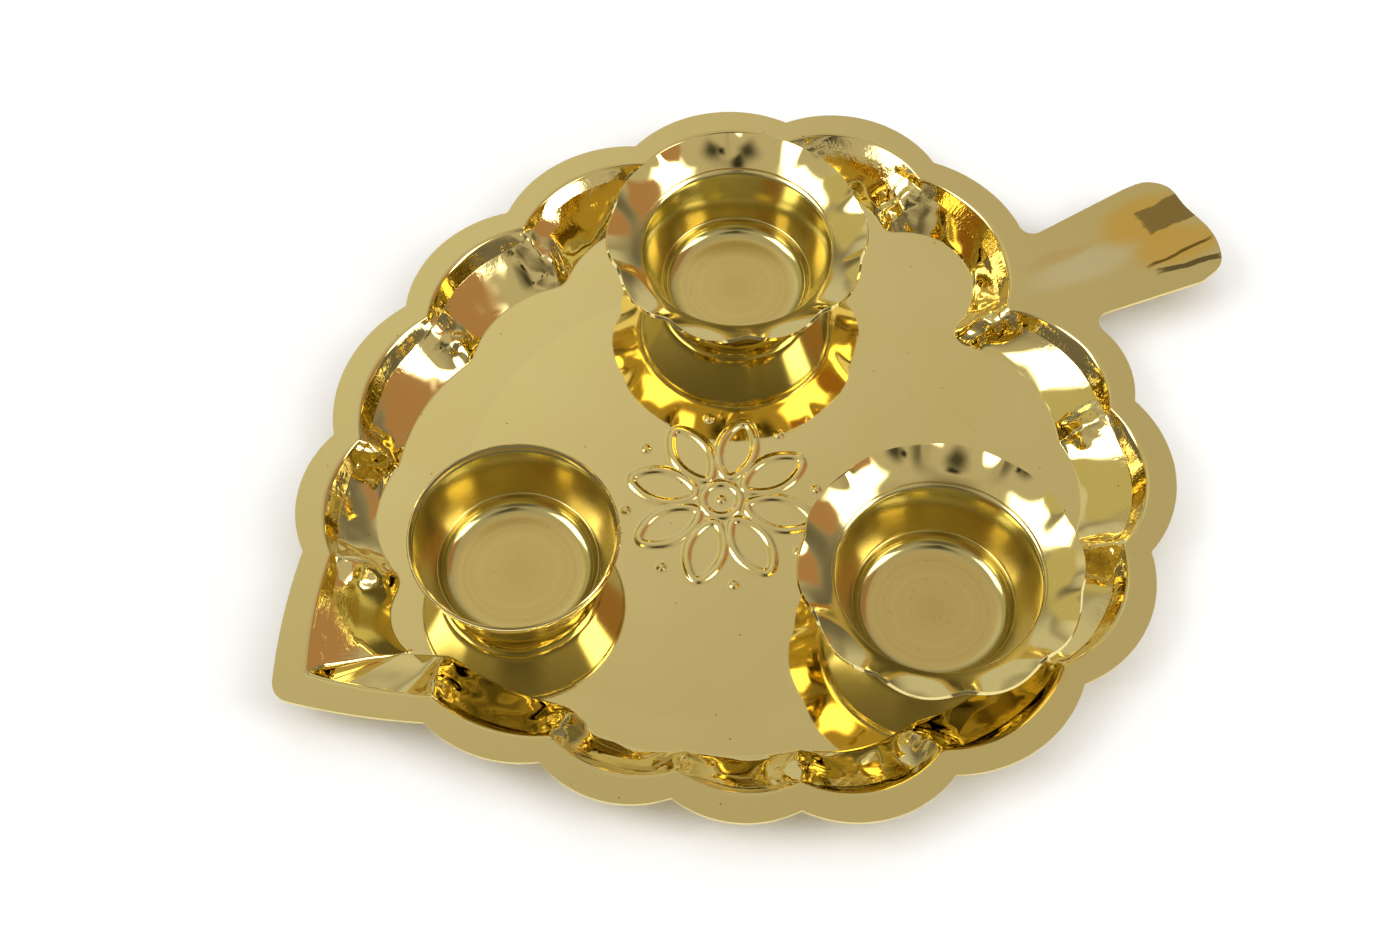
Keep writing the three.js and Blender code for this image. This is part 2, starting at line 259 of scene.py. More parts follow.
@dataclass(frozen=True)
class LobedLine:
    """A closed line of arcs that bulge outwards, counter-clockwise from the leaf's tip."""

    corners: list[Vector]
    bulges: list[float]
    least_bulge: float = 0.3

    def circle(self, lobe: int) -> Circle:
        """Finds the circle that a lobe is part of.

        Args:
            lobe: The lobe's number, which is that of its first corner.

        Returns:
            The circle.
        """
        start, end = self.corners[lobe], self.corners[(lobe + 1) % len(self.corners)]
        bulge = self.bulges[lobe]
        radius = (end - start).length_squared / (8 * bulge) + bulge / 2
        centre = polar((start + end) / 2, radius - bulge, heading(start, end) + math.pi / 2)
        return Circle(centre, radius)

    def tip_inward(self) -> tuple[Vector, float]:
        """The way into the leaf from its tip, and half the angle there."""
        sides = [(self.corners[i] - self.corners[0]).normalized() for i in (1, -1)]
        return (sides[0] + sides[1]).normalized(), sides[0].angle(sides[1]) / 2

    def inward(self, corner: int) -> Vector:
        """The way into the leaf from a notch, between its two lobes."""
        middle = (self.circle(corner - 1).centre + self.circle(corner).centre) / 2
        return (middle - self.corners[corner]).normalized()

    def inner(self, at_crowns: list[float], at_notches: list[Vector], at_tip: Vector) -> "LobedLine":
        """A lobed line inside this one.

        Args:
            at_crowns: How far in it lies from the middle of each lobe.
            at_notches: How its corners lie from the notches: how far in, and turned by how many degrees.
            at_tip: How far in its tip's two sides lie from this tip's, and the turn of the way there.

        Returns:
            The line, with as many lobes.
        """
        way, half = self.tip_inward()
        turn = math.atan2(way.y, way.x) + math.radians(at_tip.y)
        corners = [polar(self.corners[0], at_tip.x / math.sin(half), turn)]
        for i, move in enumerate(at_notches, start=1):
            turn = math.atan2(*self.inward(i).yx) + math.radians(move.y)
            corners.append(polar(self.corners[i], move.x, turn))
        bulges = []
        for i, (start, end) in enumerate(zip(self.corners, [*self.corners[1:], self.corners[0]])):
            outward = polar(ORIGIN, 1, heading(start, end) - math.pi / 2)
            crown = (start + end) / 2 + outward * (self.bulges[i] - at_crowns[i])
            chord_middle = (corners[i] + corners[(i + 1) % len(corners)]) / 2
            bulges.append(max((crown - chord_middle).dot(outward), self.least_bulge))
        return LobedLine(corners, bulges)

    def ring(self, stations: Stations, notch_round: float, tip_round: float) -> list[Vector]:
        """Points round the line, with its notches and its tip rounded.

        Args:
            stations: Where round the leaf the points are.
            notch_round: The radius in the notches.
            tip_round: The radius at the tip.

        Returns:
            One point for each station.
        """
        circles = [self.circle(i) for i in range(len(self.corners))]
        tip = circles[0].grown(-tip_round).crossing(circles[-1].grown(-tip_round))
        first, last = heading(circles[0].centre, tip), heading(circles[-1].centre, tip)
        points = arc(tip, tip_round, last, first, stations.tip_steps)[1:-1]
        start = first
        for here, after in zip(circles, circles[1:]):
            notch = here.grown(notch_round).crossing(after.grown(notch_round))
            end = heading(here.centre, notch)
            points += arc(here.centre, here.radius, start, end, stations.lobe_steps)
            turns = heading(notch, here.centre), heading(notch, after.centre)
            points += arc(notch, notch_round, *turns, stations.notch_steps)[1:-1]
            start = heading(after.centre, notch)
        points += arc(circles[-1].centre, circles[-1].radius, start, last, stations.lobe_steps)
        return points


def start_piece(name: str) -> Object:
    """Adds an empty mesh piece at the origin and opens it for editing.

    Args:
        name: The piece's name.

    Returns:
        The piece, in edit mode.
    """
    bpy.ops.object.select_all(action="DESELECT")
    bpy.ops.mesh.primitive_circle_add(vertices=3, radius=MM, location=(0, 0, 0))
    piece = bpy.context.object
    piece.name = piece.data.name = name
    bpy.ops.object.mode_set(mode="EDIT")
    bpy.ops.mesh.delete(type="VERT")
    return piece


def add_loop(piece: Object, ring: list[Vector], fill: str = "NOTHING") -> None:
    """Adds a circle to the open piece and shapes it to a ring.

    Args:
        piece: The piece in edit mode.
        ring: The ring's points, in metres.
        fill: Whether the circle is filled, NGON or NOTHING.
    """
    bpy.ops.mesh.select_all(action="DESELECT")
    bpy.ops.mesh.primitive_circle_add(vertices=len(ring), radius=1, fill_type=fill)
    shape = bmesh.from_edit_mesh(piece.data)
    fresh = [vert for vert in shape.verts if vert.select]
    fresh.sort(key=lambda vert: math.atan2(vert.co.y, vert.co.x))
    for vert, point in zip(fresh, ring):
        vert.co = point
    bmesh.update_edit_mesh(piece.data)


def extrude_rings(piece: Object, rings: list[list[Vector]]) -> None:
    """Extrudes the open piece's last ring once for each further ring, and shapes it to that.

    Args:
        piece: The piece in edit mode.
        rings: Points of each ring in metres, all of one count; the first is there already.
    """
    shape = bmesh.from_edit_mesh(piece.data)
    wanted = {tuple(point) for point in rings[0]}
    bpy.ops.mesh.select_all(action="DESELECT")
    for edge in shape.edges:
        if all(tuple(vert.co) in wanted for vert in edge.verts) and (edge.is_boundary or edge.is_wire):
            edge.select_set(True)
    for before, ring in zip(rings, rings[1:]):
        places = {tuple(point): ring[i] for i, point in enumerate(before)}
        bpy.ops.mesh.extrude_edges_move()
        shape = bmesh.from_edit_mesh(piece.data)
        for vert in shape.verts:
            if vert.select:
                vert.co = places[tuple(vert.co)]
    bmesh.update_edit_mesh(piece.data)


def fill_level(piece: Object, height: float) -> None:
    """Fills the flat region between all open edges of the open piece that lie at one height.

    Args:
        piece: The piece in edit mode.
        height: The height in metres.
    """
    bpy.ops.mesh.select_all(action="DESELECT")
    shape = bmesh.from_edit_mesh(piece.data)
    for edge in shape.edges:
        level = all(abs(vert.co.z - height) < 1e-6 for vert in edge.verts)
        if level and (edge.is_boundary or edge.is_wire):
            edge.select_set(True)
    bmesh.update_edit_mesh(piece.data)
    bpy.ops.mesh.fill(use_beauty=True)


def face_up(piece: Object) -> None:
    """Makes the open sheet's faces agree and point up, and leaves edit mode.

    Args:
        piece: The piece in edit mode.
    """
    bpy.ops.mesh.select_all(action="SELECT")
    bpy.ops.mesh.normals_make_consistent(inside=False)
    shape = bmesh.from_edit_mesh(piece.data)
    if sum(face.normal.z * face.calc_area() for face in shape.faces) < 0:
        bpy.ops.mesh.flip_normals()
    bpy.ops.object.mode_set(mode="OBJECT")


def thicken(piece: Object, gauge: float, edge_round: float) -> None:
    """Gives a sheet its thickness below, rounds its cut edge and smooths its shading.

    Args:
        piece: The piece in object mode, its faces pointing up.
        gauge: The sheet's thickness in millimetres.
        edge_round: How much of its cut edge is rounded, in millimetres.
    """
    wall = piece.modifiers.new("gauge", "SOLIDIFY")
    wall.thickness = gauge * MM
    wall.offset = -1
    wall.use_quality_normals = True
    bpy.ops.object.modifier_apply(modifier=wall.name)
    edge = piece.modifiers.new("cut_edge", "BEVEL")
    edge.width = edge_round * MM
    edge.segments = 3
    edge.limit_method = "ANGLE"
    edge.angle_limit = math.radians(60)
    bpy.ops.object.modifier_apply(modifier=edge.name)
    bpy.ops.object.shade_smooth()
    even = piece.modifiers.new("level_faces", "WEIGHTED_NORMAL")
    even.mode = "FACE_AREA_WITH_ANGLE"
    bpy.ops.object.modifier_apply(modifier=even.name)


@dataclass(frozen=True)
class StemPatch:
    """A patch on the stem: its place and half size in millimetres, its turn and how soft its edge is.

    Some are stains and strokes, and a pale one along the stem's middle is a painted highlight.
    A stroke has square ends and the others round ones.
    """

    x: float
    y: float
    half_length: float
    half_width: float
    turn: float
    colour: str
    strength: float
    softness: float = 0.35
    stroke: bool = False


@dataclass(frozen=True)
class Specks:
    """Scattered dark specks.

    Their spacing is in millimetres, their radius in shares of that, and strength is how much they hide.
    """

    colour: str
    spacing: float
    radius: float
    strength: float

    def over(self, tree: NodeTree, spot: NodeSocket, colour: Node, where: Node | float) -> Node:
        """Scatters them over a colour.

        Args:
            tree: The material's node tree.
            spot: The place on the piece.
            colour: The colour so far.
            where: 1 where they lie, 0 elsewhere.

        Returns:
            The colour with the specks.
        """
        cells = add_node(tree, "ShaderNodeTexVoronoi", {"Vector": spot, "Scale": per(self.spacing)})
        ends = {"From Min": self.radius / 2, "From Max": self.radius, "To Min": self.strength, "To Max": 0.0}
        share = add_node(tree, "ShaderNodeMapRange", {"Value": cells, **ends})
        share = add_node(tree, "ShaderNodeMath", {0: share, 1: where}, operation="MULTIPLY")
        layers = {0: share, 6: colour, 7: linear(self.colour)}
        return add_node(tree, "ShaderNodeMix", layers, data_type="RGBA")


@dataclass(frozen=True)
class PressedBrass:
    """Yellow brass sheet, pressed in a die and buffed.

    The eye gets a pale gold mirror with a slight haze, hairlines from the buff and a few dark pits, lines
    drawn down the wall, and a duller satin flange that the buff hardly reached. Real hairlines are finer:
    these are as coarse as they need to be to show.
    """

    polished: str = "#f3e29e"
    dulled: str = "#ead68e"
    satin: str = "#e6d48f"
    pits: Specks = Specks("#6a5526", spacing=5.0, radius=0.05, strength=0.7)
    floor_roughness: float = 0.05
    floor_unevenness: tuple[float, float] = (0.7, 1.3)
    flange_roughness: float = 0.13
    flange_unevenness: tuple[float, float] = (0.8, 1.25)
    # How far below the flange's top face its satin ends.
    flange_fade: tuple[float, float] = (0.25, 0.02)
    cloud_size: float = 30.0
    mottle_size: float = 1.3
    swell: float = 0.1
    draw_width: float = 0.9
    draw_length: float = 14.0
    draw_depth: float = 0.05
    # The heights between which the draw lines come in, and those between which they go out.
    draw_start: tuple[float, float] = (4.4, 5.6)
    draw_end: tuple[float, float] = (8.8, 9.5)
    dish_middle: tuple[float, float] = (-15.1, -1.3)
    dish_radius: float = 52.3
    dish_slope: float = 1.1
    hairline_width: float = 0.5
    hairline_length: float = 24.0
    hairline_depth: float = 0.0012
    hairline_turn: float = 18.0
    patch_sway: float = 1.6
    patch_sway_size: float = 6.0
    patch_breakup: float = 0.3
    patch_edge: float = 0.2
    # Patches on the stem: stains, strokes and a pale painted highlight along its middle.
    stains_and_highlight: tuple[StemPatch, ...] = ()

    def material(self, name: str, rim_top: float) -> Material:
        """Makes the node material.

        Args:
            name: The material's name.
            rim_top: The height of the flange's top face in millimetres.

        Returns:
            The finished material.
        """
        material = bpy.data.materials.new(name)
        tree = start_tree(material)
        spot = add_node(tree, "ShaderNodeTexCoord").outputs["Object"]
        height = add_node(tree, "ShaderNodeSeparateXYZ", {"Vector": spot}).outputs["Z"]
        low, high = ((rim_top - below) * MM for below in self.flange_fade)
        flange = add_node(tree, "ShaderNodeMapRange", {"Value": height, "From Min": low, "From Max": high})
        slow = {"Scale": per(self.cloud_size), "Detail": 2.0}
        cloud = add_node(tree, "ShaderNodeTexNoise", {"Vector": spot, **slow})
        fine = {"Scale": per(self.mottle_size), "Detail": 4.0, "Roughness": 0.7}
        mottle = add_node(tree, "ShaderNodeTexNoise", {"Vector": spot, **fine})
        colour = linear(self.polished)
        for share, hue in ((cloud, self.dulled), (flange, self.satin)):
            layers = {0: share, 6: colour, 7: linear(hue)}
            colour = add_node(tree, "ShaderNodeMix", layers, data_type="RGBA")
        colour = self.pits.over(tree, spot, colour, 1.0)
        colour = self.add_stains_and_highlight(tree, spot, mottle, colour)
        rough = []
        for middle, spread in (
            (self.floor_roughness, self.floor_unevenness),
            (self.flange_roughness, self.flange_unevenness),
        ):
            ends = {"To Min": middle * spread[0], "To Max": middle * spread[1]}
            rough.append(add_node(tree, "ShaderNodeMapRange", {"Value": mottle, **NOISE_SPREAD, **ends}))
        layers = {0: flange, 2: rough[0], 3: rough[1]}
        roughness = add_node(tree, "ShaderNodeMix", layers, data_type="FLOAT")
        normal = self.add_relief(tree, spot, height, cloud)
        look = {"Base Color": colour, "Metallic": 1.0, "Roughness": roughness, "Normal": normal}
        shader = add_node(tree, "ShaderNodeBsdfPrincipled", look)
        add_node(tree, "ShaderNodeOutputMaterial", {"Surface": shader})
        return material

    def add_stains_and_highlight(self, tree: NodeTree, spot: NodeSocket, mottle: Node, colour: Node) -> Node:
        """Lays the stem's patches over the colour: stains, strokes and a painted highlight.

        Args:
            tree: The material's node tree.
            spot: The place on the piece.
            mottle: A fine pattern that breaks up their edges.
            colour: The colour so far.

        Returns:
            The colour with the patches.
        """
        slow = {"Vector": spot, "Scale": per(self.patch_sway_size)}
        sway = add_node(tree, "ShaderNodeTexNoise", slow).outputs["Color"]
        by = self.patch_sway * MM
        swayed = {0: sway, 1: (by, by, 0), 2: spot}
        swayed = add_node(tree, "ShaderNodeVectorMath", swayed, operation="MULTIPLY_ADD")
        # One of these patches is a pale painted highlight, not a stain.
        for stem_patch in self.stains_and_highlight:
            place = {
                "Location": (stem_patch.x * MM, stem_patch.y * MM, 0),
                "Rotation": (0, 0, math.radians(stem_patch.turn)),
                "Scale": (stem_patch.half_length * MM, stem_patch.half_width * MM, 1),
            }
            local = add_node(tree, "ShaderNodeMapping", {"Vector": swayed, **place}, vector_type="TEXTURE")
            if stem_patch.stroke:
                sides = add_node(tree, "ShaderNodeVectorMath", {0: local}, operation="ABSOLUTE")
                x, y, _ = add_node(tree, "ShaderNodeSeparateXYZ", {"Vector": sides}).outputs
                far = add_node(tree, "ShaderNodeMath", {0: x, 1: y}, operation="MAXIMUM")
                blob = add_node(tree, "ShaderNodeMath", {0: 1.0, 1: far}, operation="SUBTRACT")
            else:
                blob = add_node(tree, "ShaderNodeTexGradient", {"Vector": local}, gradient_type="SPHERICAL")
                blob = blob.outputs["Fac"]
            broken = {0: mottle, 1: self.patch_breakup, 2: blob}
            broken = add_node(tree, "ShaderNodeMath", broken, operation="MULTIPLY_ADD")
            ends = {"From Min": self.patch_edge, "From Max": self.patch_edge + stem_patch.softness}
            ends |= {"Value": broken, "To Min": 0.0, "To Max": stem_patch.strength}
            share = add_node(tree, "ShaderNodeMapRange", ends, interpolation_type="SMOOTHSTEP")
            layers = {0: share, 6: colour, 7: linear(stem_patch.colour)}
            colour = add_node(tree, "ShaderNodeMix", layers, data_type="RGBA")
        return colour

    def add_relief(self, tree: NodeTree, spot: NodeSocket, height: NodeSocket, cloud: Node) -> Node:
        """Adds the floor's slight dish, the sheet's slow swell, the draw lines and the buff's hairlines.

        Args:
            tree: The material's node tree.
            spot: The place on the piece.
            height: Its height.
            cloud: The slow pattern.

        Returns:
            The surface's normal.
        """
        middle = (-self.dish_middle[0] * MM, -self.dish_middle[1] * MM, 0)
        centred = add_node(tree, "ShaderNodeMapping", {"Vector": spot, "Location": middle})
        away = add_node(tree, "ShaderNodeVectorMath", {0: centred}, operation="LENGTH")
        edge = self.dish_radius * MM
        ends = {"From Min": edge, "From Max": 2 * edge}
        outside = add_node(tree, "ShaderNodeMapRange", {"Value": away, **ends})
        slope = math.tan(math.radians(self.dish_slope))
        normal = {"Strength": 1.0, "Distance": edge * slope, "Height": outside}
        normal = add_node(tree, "ShaderNodeBump", normal)
        band = 1.0
        for (low, high), turn in ((self.draw_start, (0.0, 1.0)), (self.draw_end, (1.0, 0.0))):
            ends = {"From Min": low * MM, "From Max": high * MM, "To Min": turn[0], "To Max": turn[1]}
            share = add_node(tree, "ShaderNodeMapRange", {"Value": height, **ends})
            band = add_node(tree, "ShaderNodeMath", {0: share, 1: band}, operation="MULTIPLY")
        drawn = (self.draw_width, self.draw_width, self.draw_length)
        buffed = (self.hairline_length, self.hairline_width, self.hairline_width)
        patterns = []
        for size, turn in ((drawn, 0), (buffed, self.hairline_turn)):
            ways = {"Rotation": (0, 0, math.radians(turn)), "Scale": tuple(per(s) for s in size)}
            scaled = add_node(tree, "ShaderNodeMapping", {"Vector": spot, **ways})
            streaks = {"Vector": scaled, "Scale": 1.0, "Detail": 3.0}
            patterns.append(add_node(tree, "ShaderNodeTexNoise", streaks))
        folds = add_node(tree, "ShaderNodeMath", {0: patterns[0], 1: band}, operation="MULTIPLY")
        layers = (self.swell, cloud), (self.draw_depth, folds), (self.hairline_depth, patterns[1])
        for depth, pattern in layers:
            bump = {"Strength": 1.0, "Distance": depth * MM, "Height": pattern, "Normal": normal}
            normal = add_node(tree, "ShaderNodeBump", bump)
        return normal


@dataclass(frozen=True)
class SpunBrass:
    """Yellow brass sheet, spun over a former on a lathe and buffed while it turned.

    The eye gets turning lines round the wall that draw highlights into soft upright bands, a bowl that is
    duller than the bright lip, and a matt floor inside with rings and specks. Real turning lines are finer:
    these are as coarse as they need to be to show.
    """

    polished: str = "#f3e29e"
    dulled: str = "#ead68e"
    matt: str = "#e3cc82"
    matt_worn: str = "#dac37a"
    bowl: str = "#d2c586"
    specks: Specks = Specks("#5c4a22", spacing=1.6, radius=0.12, strength=0.45)
    floor_roughness: float = 0.2
    floor_line_width: float = 1.5
    floor_wear: tuple[float, float] = (0.35, 0.85)
    # How far beyond the floor's radius the matt part starts and is full.
    matt_edge: tuple[float, float] = (1.7, 1.0)
    centre_mark: tuple[float, float] = (2.0, 7.0)
    centre_wear: float = 0.35
    wall_roughness: float = 0.12
    wall_unevenness: tuple[float, float] = (0.7, 1.3)
    # How far from the lip's start the bowl's duller colour starts and is full.
    wall_top: tuple[float, float] = (-0.7, -1.2)
    lip_roughness: float = 0.07
    # How far from the lip's start its smoother finish starts and is full.
    lip_foot: tuple[float, float] = (-0.3, 0.5)
    line_width: float = 0.28
    line_depth: float = 0.0022
    mottle_size: float = 1.1

    def material(self, name: str, axis: Vector, floor_radius: float, lip_height: float) -> Material:
        """Makes the node material.

        Args:
            name: The material's name.
            axis: The cup's axis, as a point in the frame.
            floor_radius: The radius of the flat floor inside, in millimetres.
            lip_height: The height at which the lip starts, in millimetres.

        Returns:
            The finished material.
        """
        material = bpy.data.materials.new(name)
        tree = start_tree(material)
        spot = add_node(tree, "ShaderNodeTexCoord").outputs["Object"]
        local = add_node(tree, "ShaderNodeMapping", {"Vector": spot, "Location": (-axis.x, -axis.y, 0)})
        x, y, height = add_node(tree, "ShaderNodeSeparateXYZ", {"Vector": local}).outputs
        flat = add_node(tree, "ShaderNodeCombineXYZ", {"X": x, "Y": y})
        radius = add_node(tree, "ShaderNodeVectorMath", {0: flat}, operation="LENGTH")
        along = add_node(tree, "ShaderNodeMath", {0: radius, 1: height}, operation="ADD")
        lines = {"W": along, "Scale": per(self.line_width), "Detail": 3.0, "Roughness": 0.7}
        turned = add_node(tree, "ShaderNodeTexNoise", lines, noise_dimensions="1D")
        masks = []
        for value, start, (low, high) in (
            (radius, floor_radius, self.matt_edge),
            (height, lip_height, self.wall_top),
            (height, lip_height, self.lip_foot),
        ):
            ends = {"From Min": (start + low) * MM, "From Max": (start + high) * MM}
            masks.append(add_node(tree, "ShaderNodeMapRange", {"Value": value, **ends}))
        inside, wall, lip = masks
        ends = {"To Min": self.wall_roughness * self.wall_unevenness[0]}
        ends["To Max"] = self.wall_roughness * self.wall_unevenness[1]
        rough = add_node(tree, "ShaderNodeMapRange", {"Value": turned, **NOISE_SPREAD, **ends})
        for share, over in ((inside, self.floor_roughness), (lip, self.lip_roughness)):
            rough = add_node(tree, "ShaderNodeMix", {0: share, 2: rough, 3: over}, data_type="FLOAT")
        bump = {"Strength": 1.0, "Distance": self.line_depth * MM, "Height": turned}
        normal = add_node(tree, "ShaderNodeBump", bump)
        colour = self.add_colour(tree, spot, radius, inside, wall)
        look = {"Base Color": colour, "Metallic": 1.0, "Roughness": rough, "Normal": normal}
        shader = add_node(tree, "ShaderNodeBsdfPrincipled", look)
        add_node(tree, "ShaderNodeOutputMaterial", {"Surface": shader})
        return material

    def add_colour(self, tree: NodeTree, spot: NodeSocket, radius: Node, inside: Node, wall: Node) -> Node:
        """Makes the colour, with the rings that the tool and the lathe's centre left on the floor.

        Args:
            tree: The material's node tree.
            spot: The place on the piece.
            radius: The distance from the cup's axis.
            inside: 1 on the floor inside, 0 elsewhere.
            wall: 1 below the lip, 0 on it.

        Returns:
            The colour.
        """
        fine = {"Vector": spot, "Scale": per(self.mottle_size), "Detail": 4.0, "Roughness": 0.65}
        mottle = add_node(tree, "ShaderNodeTexNoise", fine)
        lines = {"W": radius, "Scale": per(self.floor_line_width), "Detail": 3.0, "Roughness": 0.6}
        rings = add_node(tree, "ShaderNodeTexNoise", lines, noise_dimensions="1D")
        low, high = (distance * MM for distance in self.centre_mark)
        ends = {"From Min": low, "From Max": high, "To Min": self.centre_wear, "To Max": 0.0}
        centre = add_node(tree, "ShaderNodeMapRange", {"Value": radius, **ends})
        worn = add_node(tree, "ShaderNodeMath", {0: rings, 1: centre}, operation="ADD")
        low, high = self.floor_wear
        worn = add_node(tree, "ShaderNodeMapRange", {"Value": worn, "From Min": low, "From Max": high})
        layers = {0: worn, 6: linear(self.matt), 7: linear(self.matt_worn)}
        floor = add_node(tree, "ShaderNodeMix", layers, data_type="RGBA")
        colour = linear(self.polished)
        for share, over in ((mottle, linear(self.dulled)), (wall, linear(self.bowl)), (inside, floor)):
            colour = add_node(tree, "ShaderNodeMix", {0: share, 6: colour, 7: over}, data_type="RGBA")
        return self.specks.over(tree, spot, colour, inside)


@dataclass(frozen=True)
class Placing:
    """How plan millimetres come to lie in the frame, so that the outline fills its node's box."""

    middle: Vector
    target: Vector
    stretch: Vector

    @classmethod
    def fit(cls, outline: list[Vector], node: str) -> "Placing":
        """Fits an outline to a CAD node's box.

        Args:
            outline: The outline in plan millimetres.
            node: The node's name.

        Returns:
            The placing.
        """
        low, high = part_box(node)
        plan_low = Vector((min(p.x for p in outline), min(p.y for p in outline)))
        plan_high = Vector((max(p.x for p in outline), max(p.y for p in outline)))
        target, size = (low.xy + high.xy) / 2, high.xy - low.xy
        plan_size = plan_high - plan_low
        stretch = Vector((size.x / plan_size.x, size.y / plan_size.y))
        return cls((plan_low + plan_high) / 2, target, stretch)

    def at(self, point: Vector, height: float) -> Vector:
        """Finds where a plan point lies in the frame.

        Args:
            point: The point in plan millimetres.
            height: Its height in millimetres.

        Returns:
            The place in metres.
        """
        from_middle = point.xy - self.middle
        x = self.target.x + from_middle.x * self.stretch.x
        y = self.target.y + from_middle.y * self.stretch.y
        return Vector((x, y, height * MM))


@dataclass(frozen=True)
class Corner:
    """A corner of the leaf's edge in shares of its length and width, and the lobe that follows it.

    Bulge is a share of that lobe's chord. Nose is how far the knuckle behind the corner runs into the well,
    and lean how many degrees it is turned. Reach is how far the lobe's scoop runs into the well, foot the
    depth at which it starts, and straight how little it is hollowed.
    """

    along: float
    across: float
    bulge: float
    nose: float = 10.5
    lean: float = 0.0
    reach: float = 13.0
    foot: float = 3.6
    straight: float = 0.75


@dataclass(frozen=True)
class Lotus:
    """The raised line design on the floor: outlined petals round a ring, with dots between them."""

    petals: int = 8
    petal_inner: float = 6.8
    petal_length: float = 12.0
    petal_width: float = 7.6
    petal_point: float = 1.1
    ring_radius: float = 4.0
    dot_circle: float = 20.5
    dot_radius: float = 1.3
    bead_width: float = 2.3
    bead_height: float = 0.38
    bead_slope: float = 1.25
    curve_steps: int = 72
    patch_half: float = 23.5
    patch_cells: int = 58
    patch_cuts: int = 2

    def petal_line(self) -> list[Vector]:
        """Draws the petal that lies along +X.

        Returns:
            The points round it.
        """
        middle = self.petal_inner + self.petal_length / 2
        points = []
        for i in range(self.curve_steps):
            turn = math.tau * i / self.curve_steps
            along = middle + self.petal_length / 2 * math.cos(turn) + self.petal_point * math.cos(turn) ** 5
            points.append(Vector((along, self.petal_width / 2 * math.sin(turn))))
        return points

    def bead(self, distance: float, half: float) -> float:
        """The height of a rounded bead at a distance from its middle."""
        return self.bead_height * smooth_step(self.bead_slope * (1 - distance / half))

    def height(self, point: Vector, petal_line: list[Vector]) -> float:
        """How far the floor is raised at a point.

        Args:
            point: The point, from the lotus's middle.
            petal_line: The points of petal_line().

        Returns:
            The height in millimetres.
        """
        radius = point.length
        sector = math.tau / self.petals
        turn = (heading(ORIGIN, point) + sector / 2) % sector - sector / 2
        folded = polar(ORIGIN, radius, turn)
        half = self.bead_width / 2
        to_petal = math.inf
        for a, b in zip(petal_line, [*petal_line[1:], petal_line[0]]):
            share = (folded - a).dot(b - a) / (b - a).length_squared
            to_petal = min(to_petal, (folded - a - (b - a) * min(max(share, 0), 1)).length)
        to_dot = (folded - polar(ORIGIN, self.dot_circle, math.copysign(sector / 2, turn))).length
        return max(
            self.bead(to_petal, half),
            self.bead(abs(radius - self.ring_radius), half),
            self.bead(to_dot, self.dot_radius),
            self.bead(radius, self.dot_radius),
        )


